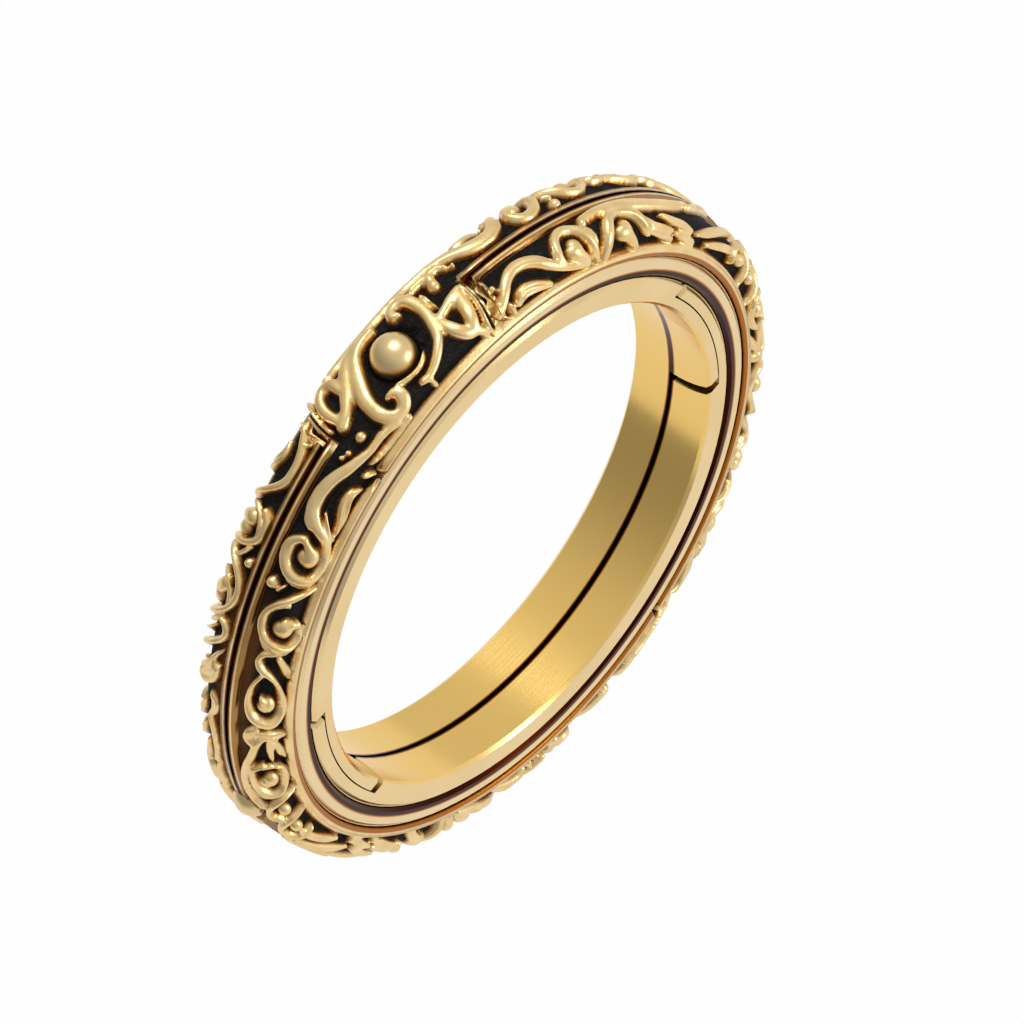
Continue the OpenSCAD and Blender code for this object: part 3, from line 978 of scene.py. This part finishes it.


# %% [markdown]
# ## Carved gold
#
# The blackening follows depth. The height above the ground is worked out from the
# band's own shape: how far a place is from the line round which the shoulder bends.
# The rims beside the seam, the walls of the lap and the inside were rubbed bright again.
# Beside the gaps sits painted shade, orange at its edge as painted bounced light and dark
# brown in its core. On the lower left, near the seam, the ground is brown rather than black.

# %% Make the carved gold
ring_top = 10.95
aged = Finish("carved_gold", 0.12)
beyond_crown = (aged.across - shoulder_y).higher(0)
beyond_shoulder = (aged.radius - shoulder_r).higher(0)
rise = (beyond_crown ** 2 + beyond_shoulder ** 2) ** 0.5 - (shoulder - ground)

from_rivet = (aged.x * aged.x + aged.y * aged.y) ** 0.5
past_disc = from_rivet.fade(disc_radius - 0.15, disc_radius + 0.05)
seam_edges = aged.across.fade(0.31, 0.29) * past_disc
lap_side = (aged.x * aged.y * aged.z).fade(0, -2)
lap_walls = lap_side * from_rivet.fade(disc_radius - 0.09, disc_radius - 0.06)
lap_walls = lap_walls * from_rivet.fade(band_end + 0.15, band_end + 0.09)
inside = aged.radius.fade(shoulder_r, shoulder_r - 0.1) * aged.across.fade(1.3, 1.2)
rubbed = seam_edges.higher(lap_walls).higher(inside)
rim_side = aged.across.fade(0.19, 0.23) * aged.across.fade(0.37, 0.33)
rim_side = rim_side * from_rivet.fade(disc_radius + 0.15, disc_radius + 0.35)
lower_left = aged.z.fade(9.5, 7.5) * aged.x.fade(0, -4) * aged.across.fade(0.95, 0.5)

grain = aged.spots(0.09, 3)
cloud = aged.spots(0.6)
height = rise + (grain - 0.5) * 0.05
bared = height.fade(0.015, 0.07).higher(rubbed)
# Painted shade: each stroke's sides are brown, and only its top is satin gold.
lit_top = height.fade(0.06, 0.2).higher(rubbed)
# Painted shade beside the gaps: next to the plain ring, and on the inner part of the seam rims.
shade_beside_ring = aged.radius.fade(ring_top + 0.14, ring_top + 0.06) * aged.across.fade(1.4, 1.6)
shade_beside_seam = aged.across.fade(0.15, 0.09) * past_disc * aged.radius.fade(11.9, 12.1)

black = aged.mix(grain.fade(0.4, 0.8), linear("0B0C10"), linear("2A2218"))
ground_colour = aged.mix(lower_left, black, linear("64401A"))
satin_top = aged.mix(cloud.fade(0.2, 0.8), linear("E4C080"), linear("F0D49C"))
# Brown painted shade on the sides of the strokes, the same brown on the outer edge of each seam rim, satin
# gold on the tops.
gold = aged.mix(lit_top * (1 - 0.8 * rim_side), linear("8A5A20"), satin_top)
bared_gold = aged.mix(bared, ground_colour, gold)
# Orange at the edge of the painted shade, as painted bounced light, and dark brown in its core.
gap_shade = (0.5 * shade_beside_ring).higher(0.9 * shade_beside_seam)
with_gap_glow = aged.mix((2 * gap_shade).fade(0, 1), bared_gold, linear("A8641C"))
with_gap_shade = aged.mix(gap_shade.fade(0.5, 1), with_gap_glow, linear("340E00"))
aged.plug(aged.sockets["Base Color"], with_gap_shade)
aged.plug(aged.sockets["Metallic"], bared)
aged.plug(aged.sockets["Roughness"], 0.75 - 0.43 * bared + (grain - 0.5) * 0.12)
aged.bump(grain, 0.012)
print("carved_gold:", len(aged.tree.nodes), "nodes")

# %% [markdown]
# ## Satin and polished gold
#
# The plain ring and the lining were turned, so their faint marks run round the ring.
# The marks are noise that is stretched along the circle, read from the radius and the
# width rather than from the angle. On the faces, painted shade darkens the gold towards a
# gap: orange first, as painted bounced light, then dark brown.
# Inside the finger hole the gold is yellower, because it reflects itself.

# %% Make the plain finishes
def turned_gold(name, dark, light, roughness, gaps, lining=0):
    """Gold with faint turning marks, and painted shade on its faces at some radii. Each gap is
    the radius where the painted shade starts, the radius where it is thickest, and how thick
    it is there. A lining of one adds the bore's yellow and painted shade along the bore's
    middle. That shade belongs beside the seam, but it also crosses the two laps, which have none."""
    finish = Finish(name, 0.5)
    lines = finish.node("ShaderNodeCombineXYZ", None, finish.radius * 9, finish.y * 9)
    marks = finish.node("ShaderNodeTexNoise", None, lines, scale=1, detail=3)
    cloud = finish.spots(2.5)
    # Painted shade along the bore's middle, and below it on the faces beside the gaps.
    gap_shade = lining * finish.across.fade(0.17, 0.07) * finish.radius.fade(9.7, 9.4)
    on_face = finish.across.fade(1.2, 1.45)
    for shade_start, shade_peak, most in gaps:
        gap_shade = (most * on_face * finish.radius.fade(shade_start, shade_peak)).higher(gap_shade)
    gold = finish.mix(cloud.fade(0.25, 0.75), linear(dark), linear(light))
    in_bore = lining * finish.radius.fade(bore_wall + 0.12, bore_wall + 0.04)
    gold = finish.mix(in_bore, gold, linear("EBC472"))
    # Orange as painted bounced light, then dark brown as painted shade.
    orange = finish.mix((2 * gap_shade).fade(0, 1), gold, linear("B8701E"))
    finish.plug(finish.sockets["Base Color"], finish.mix(gap_shade.fade(0.5, 1), orange, linear("340E00")))
    finish.plug(finish.sockets["Roughness"], roughness + 0.06 * (marks - 0.5))
    finish.bump(marks, 0.003)
    print(f"{name}: {len(finish.tree.nodes)} nodes")
    return finish.owner


lining_top = 10.2
ring_bore = 10.25
bore_wall = 9.1
ring_shade_radii = [(ring_bore + 0.22, ring_bore + 0.08, 1), (ring_top - 0.1, ring_top - 0.02, 0.5)]
lining_shade_radii = [(lining_top - 0.12, lining_top - 0.02, 0.9)]
finishes = {
    "carved_gold": aged.owner,
    "pale_satin_gold": turned_gold("pale_satin_gold", "E6CB98", "EBD2A2", 0.27, ring_shade_radii),
    "polished_gold": turned_gold("polished_gold", "E4C68C", "EACE98", 0.2, lining_shade_radii, 1),
    "rivet_gold": turned_gold("rivet_gold", "DCC08A", "E8CF9C", 0.34, []),
}
for piece in [left_band, right_band, *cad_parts.values()]:
    finish = finishes[piece.data.materials[0].name.split(".")[0]]
    for slot_number in range(len(piece.data.materials)):
        piece.data.materials[slot_number] = finish

# %% [markdown]
# ## Studio
#
# Gold looks like whatever it reflects. The ring stood in a white box with a large soft
# light above it, so most of it reflects white, and the darker side of the box gives
# part of the brown shading; the rest is painted shade on the carved bands. The floor is
# white to the camera and only keeps a faint shadow.

# %% Put up the world and the lights
world = bpy.data.worlds.new("studio")
bpy.context.scene.world = world
sky = Plan(world)
bright_way = (camera_up * 0.75 + camera_right * 0.55 + towards * 0.35).normalized()
dark_side = 0.46
facing = sky.node(
    "ShaderNodeVectorMath", {"operation": "DOT_PRODUCT"},
    sky.node("ShaderNodeTexCoord", output="Generated"), bright_way, output="Value",
)
seen = sky.node("ShaderNodeLightPath", output="Is Camera Ray")
box_light = (dark_side + (1 - dark_side) * facing.fade(-0.7, 0.5)).higher(seen)
background = sky.node("ShaderNodeBackground", strength=box_light)
sky.node("ShaderNodeOutputWorld", None, background)


def area_light(name, place, size, power):
    """A square soft light that faces the ring."""
    data = bpy.data.lights.new(name, "AREA")
    data.size = size
    data.energy = power
    light = bpy.data.objects.new(name, data)
    light.location = place
    light.rotation_euler = (-Vector(place)).to_track_quat("-Z", "Y").to_euler()
    bpy.context.scene.collection.objects.link(light)
    print(f"{name}: {power} W over {size * 1000:.0f} mm")


area_light("top light", tuple(towards * 0.2 + camera_up * 0.25), 0.15, 0.4)
area_light("right light", tuple(camera_right * 0.28 + towards * 0.1), 0.12, 0.25)

# %% Lay the floor
floor_size = 1.2
floor_depth = 60 * mm
bpy.ops.object.select_all(action="DESELECT")
bpy.ops.mesh.primitive_plane_add(size=floor_size, location=(0, 0, -floor_depth))
floor = bpy.context.object
floor.name = "floor"
paper = Plan(bpy.data.materials.new("floor"))
ways = paper.node("ShaderNodeLightPath").socket.node.outputs
shown = Wire(paper, ways["Is Camera Ray"])
for way in ("Is Glossy Ray", "Is Transmission Ray"):
    shown = shown.higher(Wire(paper, ways[way]))
matt = paper.node("ShaderNodeBsdfDiffuse", None, (0.9, 0.9, 0.9, 1))
white = paper.node("ShaderNodeEmission", None, (1, 1, 1, 1))
blend = paper.node("ShaderNodeMixShader", None, 0.92 * shown, matt, white)
paper.node("ShaderNodeOutputMaterial", None, blend)
floor.data.materials.append(paper.owner)
bpy.context.scene.view_settings.view_transform = "Standard"
print(f"floor: {floor_size} m square, {floor_depth / mm:.0f} mm under the ring's middle")

# %% [markdown]
# ## Check the picture
#
# Each image point is compared with where its piece really shows.

# %% Work out and print the offsets
shown_pieces = [left_band, right_band]
shown_pieces += [node for name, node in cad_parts.items() if not name.startswith("carved")]
edges = edges_in_photo(corners_of(shown_pieces))
offsets = {edge: round(float(edges[edge] - OUTLINE[edge]), 1) for edge in OUTLINE}
carving_points = corners_of([left_band, right_band])


def middle_in_photo(points):
    """The middle of what some points take up in the photo."""
    edges = edges_in_photo(points)
    return (edges["left"] + edges["right"]) / 2, (edges["top"] + edges["bottom"]) / 2


def note(name, seen, shown):
    """Keep how far a thing shows from its image point."""
    offsets[name] = [round(float(shown[0] - seen[0]), 1), round(float(shown[1] - seen[1]), 1)]


ball_reach = 0.24 * mm
for name, seen in BALLS.items():
    ball = surface_point(*ball_places[name], stroke_top)
    near = np.linalg.norm(carving_points - ball, axis=1) < ball_reach
    note(name, seen, middle_in_photo(carving_points[near]))
ball_points = corners_of([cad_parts["top_rivet"]])
head_start = (crown_r - 0.3) * mm
head = ball_points[ball_points[:, 2] > head_start]
note("rivet ball", FEATURES["rivet ball"], middle_in_photo(head))
for name, side in (("right seam corner", 1), ("left seam corner", -1)):
    seam_corner = Vector((side * disc_radius, 0, (crown_r ** 2 - disc_radius ** 2) ** 0.5)) * mm
    note(name, FEATURES[name], in_photo([seam_corner])[0])
print("offsets:", offsets)
